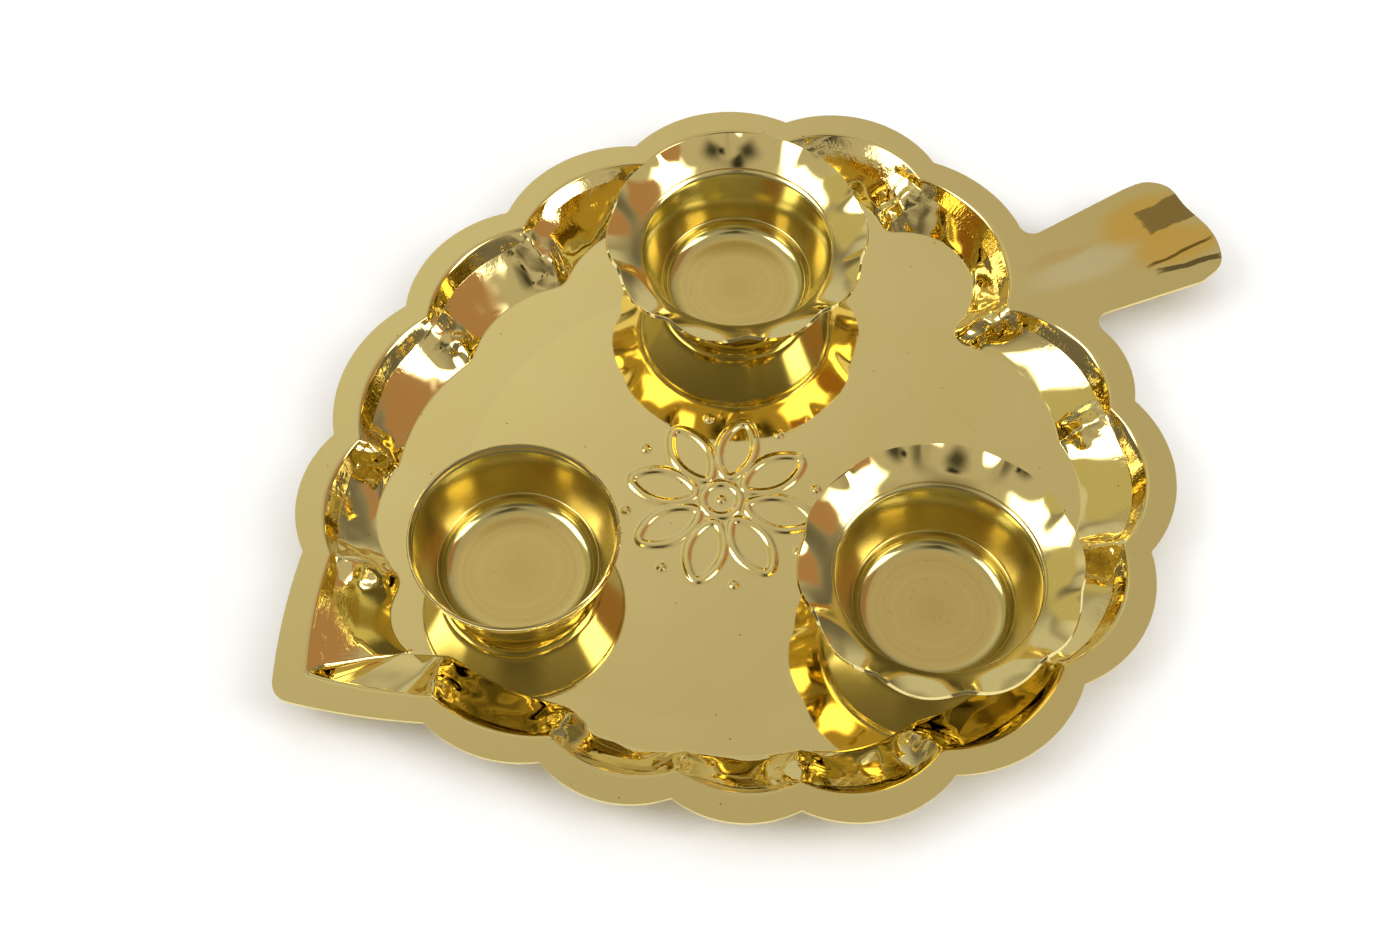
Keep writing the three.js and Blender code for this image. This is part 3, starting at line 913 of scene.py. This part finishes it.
@dataclass
class Tray:
    """The leaf: a flat flange and stem, a steep wall, a scoop behind each lobe, knuckles and a flat floor."""

    finish: PressedBrass
    node: str = "leaf_plate"
    leaf_length: float = 187.5
    leaf_width: float = 166.5
    gauge: float = 0.8
    edge_round: float = 0.18
    flange_width: float = 5.5
    notch_round: float = 0.6
    tip_round: float = 4.5
    wall_angle: float = 54.0
    bend_radius: float = 1.3
    bend_steps: int = 5
    wall_depth: float = 3.6
    wall_shares: tuple[float, ...] = (0.3, 0.6, 0.88)
    brow_round: float = 1.2
    foot_round: float = 1.6
    floor_round: float = 3.8
    tip_crease: float = 0.3
    seam_step: float = 0.35
    knuckle_foot_depth: float = 1.8
    knuckle_foot_run: float = 1.9
    knuckle_width: float = 4.2
    well_depth: float = 9.0
    scoop_steps: int = 16
    dip_power: float = 1.8
    hump_power: int = 3
    hump_straight: float = 0.55
    tip_reach: float = 15.5
    tip_lean: float = -8.0
    notch_blend: float = 0.24
    tip_blend: float = 0.08
    dent_seed: int = 7
    # Each kind of dent: its size, its depth in a scoop and its depth on a knuckle.
    dents: tuple[tuple[float, float, float], ...] = ((8.0, 0.3, 0.7), (2.7, 0.02, 0.75))
    dent_rings: tuple[int, int] = (4, 5)
    horn_corner: int = 9
    stem_length: float = 31.5
    stem_width: float = 29.7
    stem_fillet: float = 3.0
    stem_steps: int = 10
    stem_root_along: float = 1.045
    stem_root_across: float = 0.034
    stem_root_width: float = 0.855
    stem_end_across: float = 0.025
    lotus_along: float = 0.539
    lotus_across: float = -0.012
    lotus: Lotus = field(default_factory=Lotus)
    corners: tuple[Corner, ...] = (
        Corner(-0.004, -0.008, 0.026, reach=14, foot=6.6, straight=0.7),
        Corner(0.123, -0.126, 0.119, nose=13),
        Corner(0.208, -0.237, 0.162, reach=10),
        Corner(0.307, -0.351, 0.151, nose=8, reach=11.5),
        Corner(0.416, -0.438, 0.182),
        Corner(0.573, -0.489, 0.159),
        Corner(0.747, -0.468, 0.177),
        Corner(0.901, -0.363, 0.189),
        Corner(1, -0.174, 0.231, reach=12),
        Corner(0.973, 0.021, 0.2, nose=22, lean=-12, reach=6.5),
        Corner(0.989, 0.282, 0.198, nose=12.5, reach=10.8, foot=2.2, straight=1),
        Corner(0.864, 0.444, 0.179, nose=12.5, reach=10.5, foot=2.4, straight=1),
        Corner(0.683, 0.511, 0.162, reach=12.5, foot=2.0, straight=0.9),
        Corner(0.499, 0.495, 0.165, nose=13.5),
        Corner(0.333, 0.423, 0.149, nose=11, reach=11.5),
        Corner(0.187, 0.288, 0.152, nose=7.5, reach=10),
        Corner(0.096, 0.153, 0.031, nose=14.5, reach=14, foot=2.2, straight=0.9),
    )
    end_curl: tuple[tuple[float, float], ...] = (
        (0.202, -0.449), (0.303, -0.315), (0.343, -0.123), (0.313, 0.13), (0.31, 0.345), (0.185, 0.473)
    )

    @property
    def rim_top(self) -> float:
        """The height of the flange's top face."""
        return self.gauge + self.well_depth

    def edge(self) -> LobedLine:
        """Draws the leaf's sheared edge.

        Returns:
            The edge.
        """
        places = [Vector((c.along * self.leaf_length, c.across * self.leaf_width)) for c in self.corners]
        following = [*places[1:], places[0]]
        bulges = [c.bulge * (b - a).length for c, a, b in zip(self.corners, places, following)]
        return LobedLine(places, bulges)

    def root_fillet(self, lobe: Circle, side: int) -> list[Vector]:
        """The fillet between a lobe and one edge of the stem.

        Args:
            lobe: The lobe's circle.
            side: 1 on the far edge and -1 on the near one.

        Returns:
            Its points, from the lobe to the stem.
        """
        root = Vector((self.stem_root_along * self.leaf_length, self.stem_root_across * self.leaf_width))
        end = self.stem_end()
        start = root + Vector((0, side * self.stem_root_width * self.stem_width / 2))
        slope = heading(start, end + Vector((0, side * self.stem_width / 2)))
        outward = slope + side * math.pi / 2
        lifted = polar(start, self.stem_fillet, outward)
        along = (lobe.centre - lifted).dot(polar(ORIGIN, 1, slope))
        across = (lobe.centre - lifted).length_squared - along**2
        reach = along + math.sqrt((lobe.radius + self.stem_fillet) ** 2 - across)
        centre = polar(lifted, reach, slope)
        ends = heading(centre, lobe.centre), outward + math.pi
        return arc(centre, self.stem_fillet, *ends, self.stem_steps)

    def stem_end(self) -> Vector:
        """The middle of the stem where its straight edges end."""
        return Vector((self.leaf_length + self.stem_length, self.stem_end_across * self.leaf_width))

    def stem(self, ring: list[Vector]) -> list[Vector]:
        """The stem's outline, with the stretch of the leaf's edge that it grows from.

        Args:
            ring: The points of the leaf's edge.

        Returns:
            The points, counter-clockwise.
        """
        near_lobe, far_lobe = (self.edge().circle(i) for i in (self.horn_corner - 1, self.horn_corner))
        near, far = self.root_fillet(near_lobe, -1), self.root_fillet(far_lobe, 1)
        curl = [(0.0, -0.5), *self.end_curl, (0.0, 0.5)]
        end = [self.stem_end() + Vector(share) * self.stem_width for share in curl]
        first = min(range(len(ring)), key=lambda i: (ring[i] - near[0]).length)
        if (near[0] - ring[first]).dot(ring[first + 1] - ring[first]) < 0:
            first -= 1
        last = min(range(len(ring)), key=lambda i: (ring[i] - far[0]).length)
        if (far[0] - ring[last]).dot(ring[last - 1] - ring[last]) < 0:
            last += 1
        return [*near, *spline(end, self.stem_steps), *reversed(far), *reversed(ring[first : last + 1])]

    def line(self, beyond: list[float], nose_share: float) -> LobedLine:
        """A line inside the flange.

        Args:
            beyond: How far it lies from the flange at the middle of each lobe.
            nose_share: How much of each knuckle's length it runs round.

        Returns:
            The line.
        """
        run = min(min(beyond), self.knuckle_foot_run)
        notches = [
            Vector((self.flange_width + mix(run, c.nose, nose_share), c.lean * nose_share))
            for c in self.corners[1:]
        ]
        tip = self.flange_width + mix(min(beyond), self.tip_reach, nose_share)
        at_tip = Vector((tip, self.tip_lean * nose_share))
        return self.edge().inner([self.flange_width + b for b in beyond], notches, at_tip)

    def by_lobe(self, values: list[float], place: float) -> float:
        """A value of each lobe at one station, eased from lobe to lobe.

        Args:
            values: The value of each lobe.
            place: The station.

        Returns:
            The value there.
        """
        lobe = math.floor(place + 0.5)
        blend = self.tip_blend if lobe % len(values) == 0 else self.notch_blend
        share = smooth_step((place - lobe) / blend + 0.5)
        return mix(values[(lobe - 1) % len(values)], values[lobe % len(values)], share)

    def scoop(self, share: float, weight: float, straight: float) -> float:
        """The share of the drop from the wall's foot to the floor, at a share of the way.

        Args:
            share: The share of the way from the foot to the floor's edge.
            weight: 1 on a knuckle, where the sheet humps, and 0 in a scoop, where it dips.
            straight: 1 for a scoop that falls evenly, 0 for one that levels out.

        Returns:
            The share of the drop.
        """
        dip = mix(1 - (1 - share) ** self.dip_power, share, straight)
        hump = mix(share**self.hump_power, share, self.hump_straight)
        return mix(dip, hump, weight)

    def dented(self, point: Vector, amount: float, weight: float) -> Vector:
        """Moves a point by the small dents that pressing leaves.

        Args:
            point: The point in plan millimetres.
            amount: How much of them it gets.
            weight: 1 on a knuckle, where the sheet has gathered, and 0 elsewhere.

        Returns:
            The moved point.
        """
        move = Vector((0, 0, 0))
        for size, in_scoop, on_knuckle in self.dents:
            move += noise.noise_vector(point / size) * mix(in_scoop, on_knuckle, weight)
        return point + move * amount

    def rings(self, stations: Stations) -> list[list[Vector]]:
        """The rings from the leaf's edge over the flange, the wall and the scoops to the floor.

        Args:
            stations: Where round the leaf their points are.

        Returns:
            The rings, with points in plan millimetres and heights.
        """
        angle = math.radians(self.wall_angle)
        bend_run = self.bend_radius * math.sin(angle)
        bend_drop = self.bend_radius * (1 - math.cos(angle))
        wall_run = bend_run + (self.wall_depth - bend_drop) / math.tan(angle)
        lobes = len(self.corners)
        brow = self.line([0.0] * lobes, 0).ring(stations, self.brow_round, self.brow_round)
        foot = self.line([wall_run] * lobes, 0).ring(stations, self.foot_round, self.tip_crease)
        reaches = [c.reach for c in self.corners]
        floor = self.line(reaches, 1).ring(stations, self.floor_round, self.tip_crease)
        places = stations.places()
        notches = [foot[i] for i, s in enumerate(places) if s > 0.5 and abs(s - round(s)) < 1e-6]
        weights = []
        for point in foot:
            away = min((point - notch).length for notch in notches) / self.knuckle_width
            weights.append(math.exp(-(away**2)))
        feet = [self.by_lobe([c.foot for c in self.corners], s) for s in places]
        depths = [mix(f, min(f, self.knuckle_foot_depth), w) for f, w in zip(feet, weights)]
        straights = [self.by_lobe([c.straight for c in self.corners], s) for s in places]

        def ring(start: list[Vector], end: list[Vector], share: float, drops: list[float]) -> list[Vector]:
            """The ring a share of the way between two others, with each point's drop from the rim."""
            flat = [a.lerp(b, share) for a, b in zip(start, end)]
            return [Vector((p.x, p.y, self.rim_top - d)) for p, d in zip(flat, drops)]

        def level(start: list[Vector], end: list[Vector], share: float, drop: float) -> list[Vector]:
            """The same with one drop for all its points."""
            return ring(start, end, share, [drop] * len(places))

        edge = self.edge().ring(stations, self.notch_round, self.tip_round)
        rings = [level(edge, edge, 0, 0.0), level(shifted(brow, -self.seam_step), brow, 0, 0.0)]
        for i in range(self.bend_steps + 1):
            turn = angle * i / self.bend_steps
            drop = self.bend_radius * (1 - math.cos(turn))
            rings.append(level(brow, foot, self.bend_radius * math.sin(turn) / wall_run, drop))
        for share in self.wall_shares:
            drops = [mix(bend_drop, d, share) for d in depths]
            rings.append(ring(brow, foot, mix(bend_run / wall_run, 1, share), drops))
        for i in range(self.scoop_steps + 1):
            share = (1 - math.cos(math.pi * i / self.scoop_steps)) / 2
            falls = [self.scoop(share, *shape) for shape in zip(weights, straights)]
            drops = [mix(d, self.well_depth, fall) for d, fall in zip(depths, falls)]
            rings.append(ring(foot, floor, share, drops))
        count = len(rings) - 1
        fade_in, fade_out = self.dent_rings
        # Without a seed the noise takes one from the clock, and each run has other dents.
        noise.seed_set(self.dent_seed)
        moved = []
        for k, points in enumerate(rings):
            amount = smooth_step((k - self.bend_steps) / fade_in) * smooth_step((count - k) / fade_out)
            moved.append([self.dented(p, amount, w) for p, w in zip(points, weights)])
        return [*moved, level(shifted(floor, self.seam_step), floor, 0, self.well_depth)]

    def press_lotus(self, piece: Object, placing: Placing) -> None:
        """Adds the part of the floor that carries the lotus, cut finer along its lines, and raises them.

        Args:
            piece: The tray in edit mode.
            placing: Where the plan lies in the frame.
        """
        half, cells = self.lotus.patch_half * MM, self.lotus.patch_cells
        middle = Vector((self.lotus_along * self.leaf_length, self.lotus_across * self.leaf_width))
        place = placing.at(middle, self.gauge)
        bpy.ops.mesh.select_all(action="DESELECT")
        size = {"x_subdivisions": cells, "y_subdivisions": cells, "size": 2 * half}
        bpy.ops.mesh.primitive_grid_add(location=place, **size)
        petal_line = self.lotus.petal_line()

        def rise(spot: Vector) -> float:
            """How far the floor is raised at a place in the frame, in millimetres."""
            return self.lotus.height((spot - place).xy / MM, petal_line)

        shape = bmesh.from_edit_mesh(piece.data)
        fresh = [vert for vert in shape.verts if vert.select]
        near = {vert.index for vert in fresh if rise(vert.co) > 0}
        faces = [face for face in shape.faces if face.select]
        bpy.ops.mesh.select_all(action="DESELECT")
        for face in faces:
            if any(vert.index in near for vert in face.verts):
                face.select_set(True)
        bmesh.update_edit_mesh(piece.data)
        bpy.ops.mesh.subdivide(number_cuts=self.lotus.patch_cuts)
        shape = bmesh.from_edit_mesh(piece.data)
        for vert in shape.verts:
            if abs(vert.co.x - place.x) < half and abs(vert.co.y - place.y) < half:
                vert.co.z = place.z + rise(vert.co) * MM
        bmesh.update_edit_mesh(piece.data)

    def build(self) -> Object:
        """Models the tray and seats it in the frame.

        Returns:
            The finished piece.
        """
        rings = self.rings(Stations(len(self.corners)))
        stem = self.stem([point.xy for point in rings[0]])
        placing = Placing.fit([*stem, *(point.xy for point in rings[0])], self.node)
        rings = [[placing.at(p, p.z) for p in ring] for ring in rings]
        piece = start_piece("pressed_leaf_tray")
        add_loop(piece, rings[0])
        extrude_rings(piece, rings)
        self.press_lotus(piece, placing)
        fill_level(piece, self.gauge * MM)
        add_loop(piece, [placing.at(p, self.rim_top) for p in stem], "NGON")
        bpy.ops.mesh.select_all(action="SELECT")
        bpy.ops.mesh.remove_doubles(threshold=1e-6)
        face_up(piece)
        thicken(piece, self.gauge, self.edge_round)
        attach(piece, "tray")
        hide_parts(self.node)
        return piece

    def dress(self, piece: Object) -> None:
        """Gives the tray its finish."""
        piece.data.materials.append(self.finish.material("pressed_buffed_brass", self.rim_top))


class Rim(Enum):
    """How a cup's mouth ends."""

    PLAIN = "plain"
    FLUTED = "fluted"


@dataclass
class Cup:
    """A spun cup with a flat floor, a stepped foot and a bowl, some with a flared, fluted lip."""

    finish: SpunBrass
    node: str
    body: str
    rim: Rim
    turn: float = 0.0
    gauge: float = 0.8
    edge_round: float = 0.2
    floor_radius: float = 12.4
    step_radius: float = 16.4
    step_height: float = 3.4
    step_ledge: float = 0.3
    step_bend: float = 0.3
    ledge_bend: float = 0.1
    wall_hollow: float = 0.2
    waist_radius: float = 20.7
    waist_height: float = 14.2
    mouth_radius: float = 21.5
    mouth_height: float = 15.6
    lip_radius: float = 28.0
    lip_height: float = 19.9
    lip_droop: float = 0.42
    plain_radius: float = 20.4
    flutes: int = 10
    flute_start: float = 1.3
    flute_power: float = 1.4
    flute_push: float = 1.3
    flute_dip: float = 1.5
    flute_crease: float = 0.15
    flute_mean: float = 0.6
    steps_per_flute: int = 24
    floor_rings: tuple[float, ...] = (6.0, 10.0)
    wall_steps: int = 14
    ledge_steps: int = 4
    lip_steps: int = 12
    # The turned bead just below the mouth: how far each point lies out from it and above it.
    plain_bead: tuple[tuple[float, float], ...] = (
        (-0.05, -1.25), (0.2, -1.05), (0.35, -0.75), (0.4, -0.45), (0.3, -0.15), (0.1, 0.0)
    )
    fluted_bead: tuple[tuple[float, float], ...] = (
        (-0.6, -1.1), (-0.25, -0.8), (0.1, -0.6), (0.2, -0.35), (0.05, -0.15), (0.0, 0.0)
    )

    def section(self) -> list[Vector]:
        """Draws the inside's section.

        Returns:
            Radius and height above the floor, from the floor's middle to the mouth or the lip's edge.
        """
        points = [Vector((radius, 0)) for radius in (*self.floor_rings, self.floor_radius)]
        step = Vector((self.step_radius, self.step_height))
        ledge = step + Vector((self.step_ledge, self.step_ledge))
        points += bezier(points[-1], Vector((step.x - self.step_bend, 0)), step, self.wall_steps)
        points += bezier(step, Vector((step.x + self.ledge_bend, ledge.y)), ledge, self.ledge_steps)
        waist = Vector((self.waist_radius, self.waist_height))
        bend = ledge.lerp(waist, 0.5) + Vector((-self.wall_hollow, self.wall_hollow / 3))
        points += bezier(ledge, bend, waist, self.wall_steps)
        fluted = self.rim is Rim.FLUTED
        mouth = Vector((self.mouth_radius if fluted else self.plain_radius, self.mouth_height))
        points += [mouth + Vector(move) for move in (self.fluted_bead if fluted else self.plain_bead)]
        if fluted:
            lip = Vector((self.lip_radius, self.lip_height))
            bend = Vector(((mouth.x + lip.x) / 2, lip.y - (lip.y - mouth.y) * self.lip_droop))
            points += bezier(mouth, bend, lip, self.lip_steps)
        return points

    def ring(self, axis: Vector, radius: float, height: float) -> list[Vector]:
        """One ring of the cup.

        Args:
            axis: The middle of the floor inside.
            radius: The ring's radius in millimetres.
            height: Its height above the floor inside, in millimetres.

        Returns:
            Its points in the frame.
        """
        count = self.flutes * self.steps_per_flute
        start = self.mouth_radius + self.flute_start
        share = (max(radius - start, 0) / (self.lip_radius - start)) ** self.flute_power
        if self.rim is Rim.PLAIN:
            share = 0.0
        points = []
        for i in range(count):
            angle = math.radians(self.turn) + math.tau * i / count
            belly = math.hypot(math.sin(math.pi * i / self.steps_per_flute), self.flute_crease)
            belly = share * (belly - self.flute_mean)
            spot = polar(axis, (radius + self.flute_push * belly) * MM, angle)
            points.append(Vector((spot.x, spot.y, axis.z + (height - self.flute_dip * belly) * MM)))
        return points

    def axis(self) -> Vector:
        """The middle of the floor inside, from the CAD node's box."""
        low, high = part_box(self.node)
        return Vector(((low.x + high.x) / 2, (low.y + high.y) / 2, low.z + self.gauge * MM))

    def build(self) -> Object:
        """Models the cup and seats it in the frame.

        Returns:
            The finished piece.
        """
        axis = self.axis()
        rings = [self.ring(axis, point.x, point.y) for point in self.section()]
        piece = start_piece(f"spun_{self.node}")
        add_loop(piece, rings[0], "NGON")
        extrude_rings(piece, rings)
        face_up(piece)
        thicken(piece, self.gauge, self.edge_round)
        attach(piece, self.body)
        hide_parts(self.node)
        return piece

    def dress(self, piece: Object) -> None:
        """Gives the cup its finish.

        Args:
            piece: The cup.
        """
        axis = self.axis()
        lip = axis.z / MM + self.mouth_height
        name = f"spun_buffed_brass_{self.body}"
        piece.data.materials.append(self.finish.material(name, axis, self.floor_radius, lip))


@dataclass(frozen=True)
class Panel:
    """A soft-edged panel that the brass mirrors.

    Its middle is given by the direction that it is seen in from the tray, and its size in degrees. A lit
    panel also lights the floor, and one that isn't mirrored does only that.
    """

    name: str
    azimuth: float
    elevation: float
    width: float
    height: float
    colour: str
    radiance: float = 1.0
    lit: bool = False
    softness: float = 0.2
    mirrored: bool = True


@dataclass
class Studio:
    """A white floor, a surround that brightens upwards, soft panels and a camera."""

    camera_target: tuple[float, float, float] = (-16.24, 0.47, 9.8)
    camera_distance: float = 419.25
    camera_azimuth: float = -119.56
    camera_elevation: float = 59.5
    lens: float = 51.43
    floor_size: float = 6000.0
    floor_gap: float = 0.1
    floor_paint: tuple[str, str] = ("#f4f4f3", "#efefee")
    floor_grain: float = 3.0
    floor_roughness: float = 0.9
    reach: float = 1200.0
    unlit_reach: float = 1164.0
    tint: str = "#fff5e5"
    levels: tuple[tuple[float, float], ...] = ((0, 0.14), (16, 0.2), (44, 0.54), (90, 0.56))
    panels: tuple[Panel, ...] = (
        Panel("right_softbox", -46, 38, 30, 46, "#ffffff", 4.5, lit=True),
        Panel("left_softbox", 158, 46, 42, 30, "#ffffff", 4.5, lit=True),
        Panel("overhead_fill", 30, 80, 100, 100, "#ffffff", 1.2, lit=True, mirrored=False),
        Panel("left_wall", 84, 50, 60, 44, "#fffcf2", 0.74, softness=0.5),
        Panel("back_sweep", 62, 14, 84, 38, "#fffcf2", 0.62, softness=0.3),
        Panel("warm_card", -10, 42, 42, 40, "#b28a6c"),
        Panel("olive_card", 114, 38, 38, 52, "#c4bb92"),
        Panel("dark_side", -125, 35, 52, 38, "#6d675a", softness=0.4),
        Panel("camera_card", -112, 70, 34, 34, "#4a463c", softness=0.45),
        Panel("camera", -120, 58, 13, 12, "#24221e", softness=0.4),
    )

    def direction(self, azimuth: float, elevation: float) -> Vector:
        """The way towards that azimuth and elevation."""
        turn, rise = math.radians(azimuth), math.radians(elevation)
        return Vector((math.cos(turn) * math.cos(rise), math.sin(turn) * math.cos(rise), math.sin(rise)))

    def size(self, degrees: float) -> float:
        """How wide something so many degrees across is at the lights' distance, in metres."""
        return 2 * self.reach * MM * math.tan(math.radians(degrees) / 2)

    def add_camera(self) -> None:
        """Adds the camera at the photograph's angle."""
        target = Vector(self.camera_target) * MM
        away = self.direction(self.camera_azimuth, self.camera_elevation)
        data = bpy.data.cameras.new("camera")
        data.lens = self.lens
        camera = bpy.data.objects.new("camera", data)
        camera.location = target + away * self.camera_distance * MM
        camera.rotation_euler = (-away).to_track_quat("-Z", "Y").to_euler()
        bpy.context.scene.collection.objects.link(camera)
        bpy.context.scene.camera = camera

    def add_panel(self, panel: Panel) -> None:
        """Adds one panel that faces the tray.

        Args:
            panel: The panel.
        """
        away = self.direction(panel.azimuth, panel.elevation)
        bpy.ops.object.select_all(action="DESELECT")
        turn = away.to_track_quat("Z", "Y").to_euler()
        reach = self.reach if panel.lit else self.unlit_reach
        bpy.ops.mesh.primitive_plane_add(size=1, location=away * reach * MM, rotation=turn)
        plane = bpy.context.object
        plane.name = panel.name
        plane.scale = (self.size(panel.width), self.size(panel.height), 1)
        plane.visible_camera = plane.visible_shadow = False
        plane.visible_diffuse = panel.lit
        plane.visible_glossy = panel.mirrored
        plane.data.materials.append(self.panel_glow(panel))

    def panel_glow(self, panel: Panel) -> Material:
        """Makes a panel's material, which glows and fades out towards its edges.

        Args:
            panel: The panel.

        Returns:
            The material.
        """
        material = bpy.data.materials.new(panel.name)
        tree = start_tree(material)
        spot = add_node(tree, "ShaderNodeTexCoord").outputs["UV"]
        sides = add_node(tree, "ShaderNodeSeparateXYZ", {"Vector": spot}).outputs
        fades = []
        for side in (sides["X"], sides["Y"]):
            inside = add_node(tree, "ShaderNodeMath", {0: side, 1: 0.5}, operation="PINGPONG")
            ends = {"Value": inside, "From Min": 0.0, "From Max": panel.softness}
            fades.append(add_node(tree, "ShaderNodeMapRange", ends, interpolation_type="SMOOTHSTEP"))
        share = add_node(tree, "ShaderNodeMath", {0: fades[0], 1: fades[1]}, operation="MULTIPLY")
        light = {"Color": linear(panel.colour), "Strength": panel.radiance}
        glow = add_node(tree, "ShaderNodeEmission", light)
        clear = add_node(tree, "ShaderNodeBsdfTransparent")
        both = add_node(tree, "ShaderNodeMixShader", {0: share, 1: clear, 2: glow})
        add_node(tree, "ShaderNodeOutputMaterial", {"Surface": both})
        return material

    def add_floor(self) -> None:
        """Adds the white floor, a hair below the tray."""
        bpy.ops.object.select_all(action="DESELECT")
        bpy.ops.mesh.primitive_plane_add(size=self.floor_size * MM, location=(0, 0, -self.floor_gap * MM))
        floor = bpy.context.object
        floor.name = "studio_floor"
        material = bpy.data.materials.new("matt_white_paint")
        tree = start_tree(material)
        grain = add_node(tree, "ShaderNodeTexNoise", {"Scale": per(self.floor_grain)})
        light, dark = (linear(paint) for paint in self.floor_paint)
        white = add_node(tree, "ShaderNodeMix", {0: grain, 6: light, 7: dark}, data_type="RGBA")
        paint = {"Base Color": white, "Roughness": self.floor_roughness}
        shader = add_node(tree, "ShaderNodeBsdfPrincipled", paint)
        add_node(tree, "ShaderNodeOutputMaterial", {"Surface": shader})
        floor.data.materials.append(material)

    def add_surround(self) -> None:
        """Adds the warm grey light from all round, which brightens upwards."""
        world = bpy.data.worlds.new("surround")
        tree = start_tree(world)
        way = add_node(tree, "ShaderNodeTexCoord").outputs["Generated"]
        rise = add_node(tree, "ShaderNodeSeparateXYZ", {"Vector": way}).outputs["Z"]
        ramp = add_node(tree, "ShaderNodeValToRGB", {"Fac": rise})
        stops = ramp.color_ramp.elements
        for elevation, _ in self.levels[1:-1]:
            stops.new(math.sin(math.radians(elevation)))
        for stop, (_, level) in zip(stops, self.levels):
            stop.color = [level * share for share in linear(self.tint)[:3]] + [1.0]
        glow = add_node(tree, "ShaderNodeBackground", {"Color": ramp, "Strength": 1.0})
        add_node(tree, "ShaderNodeOutputWorld", {"Surface": glow})
        bpy.context.scene.world = world

    def build(self) -> None:
        """Sets the whole studio up."""
        bpy.context.scene.view_settings.view_transform = "Standard"
        self.add_camera()
        self.add_floor()
        self.add_surround()
        for panel in self.panels:
            self.add_panel(panel)


def main() -> None:
    """Loads the frame and builds the tray, the cups and the studio."""
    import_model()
    pressed = PressedBrass(
        stains_and_highlight=(
            # A pale painted highlight along the stem's middle, then a brown stain, two gold patches near the
            # end and three dark strokes.
            StemPatch(86, 4, 20, 5.5, -5, "#fff8de", 0.3, 0.6),
            StemPatch(81, 9.2, 12, 2.2, -5, "#e0b36e", 0.3, 0.6),
            StemPatch(104, 8.2, 15, 8.5, -2, "#f0c558", 0.8, 0.5),
            StemPatch(106, -1.2, 15, 6.5, -9, "#f0c558", 0.75, 0.5),
            StemPatch(110.5, 7.2, 8.6, 3.9, -2, "#8f7c46", 0.85, 0.12, stroke=True),
            StemPatch(105.5, -3.1, 10, 0.5, -1, "#7a5f2a", 0.9, 0.3, stroke=True),
            StemPatch(106, -7.0, 9.6, 0.9, -12, "#6a5c34", 0.9, 0.3, stroke=True),
        )
    )
    spun = SpunBrass()
    parts = [
        Tray(pressed),
        Cup(spun, "fluted_cup_far", "far_cup", Rim.FLUTED, turn=-44),
        Cup(spun, "fluted_cup_near", "near_cup", Rim.FLUTED, turn=-42),
        Cup(spun, "plain_cup", "tip_cup", Rim.PLAIN, waist_radius=20.3),
    ]
    for part in parts:
        piece = part.build()
        part.dress(piece)
        log.info("%s: %d faces", piece.name, len(piece.data.polygons))
    Studio().build()


if __name__ == "__main__":
    main()
